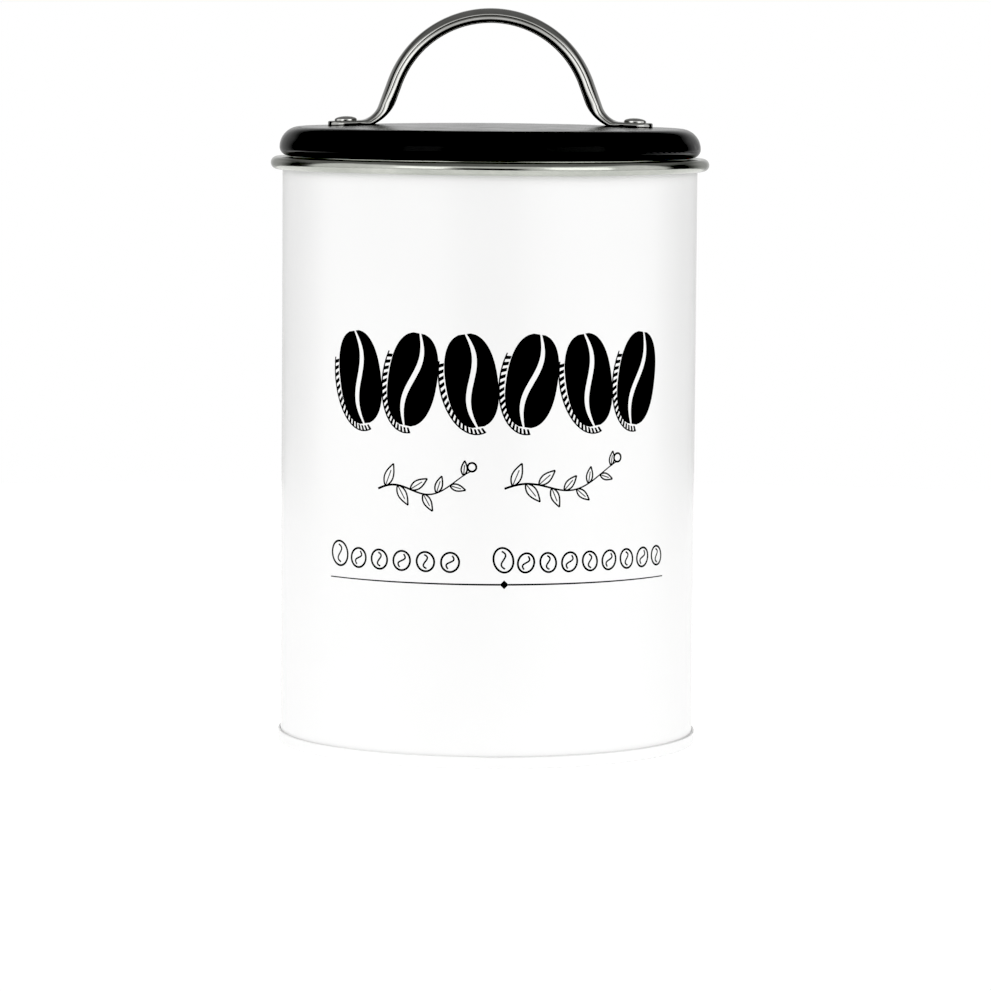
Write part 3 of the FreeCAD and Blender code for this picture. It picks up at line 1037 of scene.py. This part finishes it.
MARK_STROKE = 0.5
MARK_ROWS = ((-44.6, 6, 6.4), (1.2, 9, 5.75))       # where the group starts, beans, pitch
MARK_Z = 49.6
FIRST_MARK_TALL = 6.8
MARK_TALL = 5.4
FIRST_MARK_FILL = 0.43          # half a bean's width, as a share of the pitch
MARK_FILL = 0.36
MARK_TILT = math.radians(14)
MARK_WIND = 1.4                 # the small crease winds this much more
MARK_CREASE = 0.72              # share of the small bean's height
MARK_CREASE_STROKE = 0.8
MARK_STEPS = 40
MARK_CREASE_STEPS = 16


def build_marks():
    """Row of small outlined beans, the first of each group a little taller."""
    ink = Ink()
    for start, count, pitch in MARK_ROWS:
        for i in range(count):
            tall = MARK_TALL if i else FIRST_MARK_TALL
            half_w = pitch * (MARK_FILL if i else FIRST_MARK_FILL)
            half_h = (tall - MARK_STROKE) / 2
            centre = (start + pitch * (i + 0.5), MARK_Z + tall / 2)
            tilt = -MARK_TILT if i % 2 else MARK_TILT
            angles = [math.tau * t for t in shares(MARK_STEPS)]
            ring = [(half_w * math.cos(a), half_h * math.sin(a)) for a in angles]
            ink.stroke(turned(ring, centre, tilt), MARK_STROKE)
            heights = [2 * t - 1 for t in shares(MARK_CREASE_STEPS)]
            crease = [(crease_line(half_w, v) * MARK_WIND, v * half_h * MARK_CREASE) for v in heights]
            ink.stroke(turned(crease, centre, tilt), MARK_STROKE * MARK_CREASE_STROKE)
    ink.make("print_small_marks")


RULE = (-44.7, 52.9)
RULE_Z = 46.8
RULE_ENDS = 0.26                # the rule's width at its ends
RULE_MIDDLE = 0.42              # and beside the diamond
DIAMOND_U = 4.3
DIAMOND_GAP = 1.0
DIAMOND_REACH = 1.1
DIAMOND_TIP = 0.98              # height share where the diamond is cut off
DIAMOND_STEPS = 10


def build_rule():
    """Thin swelled rule with a small diamond near its middle."""
    ink = Ink()
    before = (RULE[0], DIAMOND_U - DIAMOND_GAP, RULE_ENDS, RULE_MIDDLE)
    after = (DIAMOND_U + DIAMOND_GAP, RULE[1], RULE_MIDDLE, RULE_ENDS)
    for start, end, first_width, last_width in (before, after):
        line = [(mix(start, end, t), RULE_Z) for t in shares(LINE_STEPS)]
        ink.stroke(line, lambda t: mix(first_width, last_width, t))
    heights = [mix(-DIAMOND_TIP, DIAMOND_TIP, t) for t in shares(DIAMOND_STEPS)]
    left = [(DIAMOND_U - DIAMOND_REACH * (1 - abs(v)), RULE_Z + DIAMOND_REACH * v) for v in heights]
    right = [(DIAMOND_U + DIAMOND_REACH * (1 - abs(v)), RULE_Z + DIAMOND_REACH * v) for v in heights]
    ink.panel(left, right, 2)
    ink.make("print_rule")


# ---------------------------------------------------------------- camera, floor and light

CAMERA_AT = (0, -1.272, 0.1832)
PITCH = math.radians(5.34)
YAW = math.radians(0.092)
ROLL = math.radians(0.42)
LENS = 177.06
SENSOR = 36
CLIP_NEAR = 0.05
CLIP_FAR = 50


def build_camera():
    data = bpy.data.cameras.new("camera")
    data.lens = LENS
    data.sensor_width = SENSOR
    data.clip_start = CLIP_NEAR
    data.clip_end = CLIP_FAR
    camera = bpy.data.objects.new("camera", data)
    aim = Matrix.Rotation(-YAW, 4, "Z") @ Matrix.Rotation(math.pi / 2 - PITCH, 4, "X")
    camera.matrix_world = Matrix.Translation(CAMERA_AT) @ aim @ Matrix.Rotation(ROLL, 4, "Z")
    SCENE.collection.objects.link(camera)
    SCENE.camera = camera


FLOOR_R = 0.75
FLOOR_THICK = 0.02
FLOOR_GLOW = 0.76
FLOOR_TURN = 96
FLOOR_TONES = (grey(0.36), grey(0.40))


def build_floor():
    """Wide round white floor, bright enough to leave only a trace of shadow."""
    finish, tree, shader = new_finish("floor_finish", IOR=1.4, Emission_Color=grey(1.0),
                                      Emission_Strength=FLOOR_GLOW)
    cloud = grain(tree, place(tree), size=0.3, detail=3)
    tree.links.new(blend_colour(tree, cloud, *FLOOR_TONES), shader.inputs["Base Color"])
    roughen(tree, shader, cloud, low=0.75, high=0.85)
    outline = [(0, -SEAT_GAP), (FLOOR_R, -SEAT_GAP), (FLOOR_R, -FLOOR_THICK), (0, -FLOOR_THICK)]
    verts, faces = lathe_solid(outline, FLOOR_TURN)
    mesh = bpy.data.meshes.new("floor")
    mesh.from_pydata(verts, [], faces)
    mesh.materials.append(finish)
    floor = bpy.data.objects.new("floor", mesh)
    SCENE.collection.objects.link(floor)


LIGHT_AIM = Vector((0, 0, 0.1))
STRIP_LEFT = (0.6, 0.7)
STRIP_RIGHT = (0.8, 0.7)
FILL = (1.6, 1.2)


def softbox(name, at, size, watts, glossy=True):
    """Rectangular area light aimed at the can. The camera doesn't see it; glossy says if gloss does."""
    data = bpy.data.lights.new(name, "AREA")
    data.shape = "RECTANGLE"
    data.size, data.size_y = size
    data.energy = watts
    light = bpy.data.objects.new(name, data)
    light.location = at
    light.rotation_euler = (LIGHT_AIM - Vector(at)).to_track_quat("-Z", "Y").to_euler()
    light.visible_camera = False
    light.visible_glossy = glossy
    SCENE.collection.objects.link(light)


def build_lights():
    softbox("strip_left", (-0.72, -0.98, 0.50), STRIP_LEFT, 1.3)
    softbox("strip_right", (0.90, -0.80, 0.50), STRIP_RIGHT, 1.6)
    softbox("fill_front", (0, -1.7, 0.7), FILL, 5, glossy=False)
    softbox("fill_left", (-1.7, 0.1, 0.9), FILL, 8.5, glossy=False)
    softbox("fill_right", (1.7, 0.1, 0.9), FILL, 7, glossy=False)
    softbox("fill_back", (0, 1.7, 0.8), FILL, 6, glossy=False)


def ramp(tree, value, start, end, kind="LINEAR"):
    """0 to 1 as the value goes from start to end, held at both."""
    node = add(tree, "ShaderNodeMapRange", {"Value": value, "From Min": start, "From Max": end},
               interpolation_type=kind)
    return node.outputs["Result"]


def soft_ramp(tree, value, start, end):
    return ramp(tree, value, start, end, "SMOOTHSTEP")


# Brightness of the studio's parts
BACKDROP_MIDDLE = 0.78
BACKDROP_SIDES = 0.42
PANELS = 0.85
OVERHEAD = 0.2
DARKEST = 0.015


def backdrop(tree, y, z, aside):
    """Straight behind the can a glow that falls off quickly, and a low even part to each side of it."""
    middle = times(tree, maths(tree, "POWER", ramp(tree, y, 0.70, 1.0), 3.0), BACKDROP_MIDDLE)
    low = times(tree, soft_ramp(tree, z, 0.5, 0.2), BACKDROP_SIDES)
    sides = times(tree, soft_ramp(tree, aside, math.radians(124), math.radians(150)), low)
    return greater(tree, middle, sides)


def front_panels(tree, z, aside):
    """Bright panels in front and beside, with a gap where the camera stands."""
    tall = times(tree, soft_ramp(tree, z, -0.25, -0.1), soft_ramp(tree, z, 0.85, 0.6))
    beside_camera = soft_ramp(tree, aside, math.radians(13), math.radians(24))
    over_camera = soft_ramp(tree, z, 0.2, 0.4)
    panels = times(tree, greater(tree, beside_camera, over_camera), times(tree, tall, PANELS))
    return times(tree, panels, soft_ramp(tree, aside, math.radians(112), math.radians(104)))


def build_world():
    """White to the camera; to everything else a studio with bright panels in front and beside, a dark
    gap where the camera stands, and a softer backdrop."""
    world = bpy.data.worlds.new("studio")
    world.use_nodes = True
    SCENE.world = world
    tree = world.node_tree
    tree.nodes.clear()
    direction = add(tree, "ShaderNodeTexCoord").outputs["Generated"]
    x, y, z = add(tree, "ShaderNodeSeparateXYZ", {"Vector": direction}).outputs
    aside = maths(tree, "ABSOLUTE", maths(tree, "ARCTAN2", x, times(tree, y, -1.0)))
    overhead = times(tree, soft_ramp(tree, z, 0.25, 0.6), OVERHEAD)
    lit = greater(tree, backdrop(tree, y, z, aside), overhead)
    level = greater(tree, lit, greater(tree, front_panels(tree, z, aside), DARKEST))
    studio = add(tree, "ShaderNodeBackground", {"Color": grey(1.0), "Strength": level})
    white = add(tree, "ShaderNodeBackground", {"Color": grey(1.0), "Strength": 1.0})
    seen = add(tree, "ShaderNodeLightPath").outputs["Is Camera Ray"]
    pick = add(tree, "ShaderNodeMixShader")
    tree.links.new(seen, pick.inputs[0])
    tree.links.new(studio.outputs[0], pick.inputs[1])
    tree.links.new(white.outputs[0], pick.inputs[2])
    output = add(tree, "ShaderNodeOutputWorld")
    tree.links.new(pick.outputs[0], output.inputs["Surface"])


BLACK_LEVEL = 0.03


def set_tone():
    """Plain tones, with the deepest greys pulled down to black."""
    SCENE.view_settings.view_transform = "Standard"
    SCENE.view_settings.look = "None"
    SCENE.view_settings.exposure = 0.0
    SCENE.view_settings.use_curve_mapping = True
    SCENE.view_settings.curve_mapping.black_level = (BLACK_LEVEL,) * 3
    SCENE.view_settings.curve_mapping.update()


build_camera()
finish_cad_nodes()
build_wall()
build_ring()
build_gasket()
build_handle()
build_rivet(-1, "rivet_head_left", "rivet_left")
build_rivet(1, "rivet_head_right", "rivet_right")
build_bean_row()
build_sprigs()
build_marks()
build_rule()
build_floor()
build_lights()
build_world()
set_tone()
